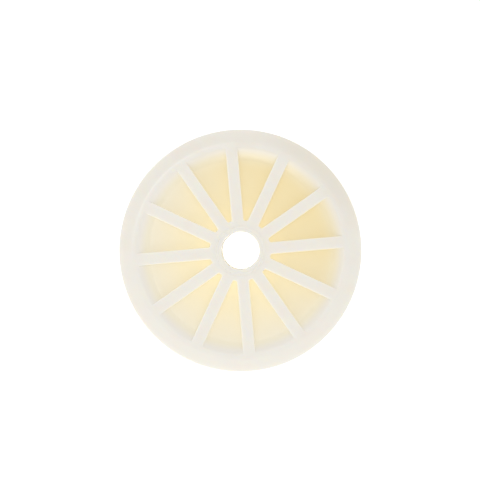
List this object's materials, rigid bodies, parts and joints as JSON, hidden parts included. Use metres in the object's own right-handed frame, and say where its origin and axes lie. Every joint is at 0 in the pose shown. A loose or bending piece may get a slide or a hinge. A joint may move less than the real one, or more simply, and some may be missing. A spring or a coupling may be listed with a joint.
{
  "type": "film developing reel",
  "caption": "Adjustable film developing reel: two ribbed round flanges with spiral film grooves inside, on a telescoping tubular hub with a through bore.",
  "frame": {"origin": "centre of the back flange's outer face, which the reel lies on", "axes": "+Z along the bore from the back flange to the front flange; +X towards the film gate"},
  "size_m": [0.096, 0.096, 0.0433],
  "materials": {
    "nylon": "natural nylon moulding, satin, lets light through its thin webs",
    "acetal": "white acetal, smooth",
    "steel": "polished stainless steel ball"
  },
  "bodies": {
    "back_half": {"back_flange": "nylon", "hub_sleeve": "nylon", "back_ball_keeper": "acetal"},
    "width_collar": {"index_collar": "acetal"},
    "front_half": {"front_flange": "nylon", "core_tube": "nylon", "collar_clip": "acetal", "front_ball_keeper": "acetal"},
    "back_grip": {"back_ball": "steel"},
    "front_grip": {"front_ball": "steel"}
  },
  "joints": [
    {"name": "width_slide", "type": "slide", "parent": "back_half", "child": "width_collar", "axis": [0, 0, 1], "range_m": [0, 0.0265]},
    {"name": "flange_twist", "type": "hinge", "parent": "width_collar", "child": "front_half", "pos_m": [0, 0, 0.0433], "axis": [0, 0, 1], "range_deg": [-25, 25]},
    {"name": "back_ball_roll", "type": "slide", "parent": "back_half", "child": "back_grip", "axis": [-0.1051, 0.9945, 0], "range_m": [0, 0.00247]},
    {"name": "front_ball_roll", "type": "slide", "parent": "front_half", "child": "front_grip", "axis": [-0.1051, 0.9945, 0], "range_m": [0, 0.00247]}
  ]
}
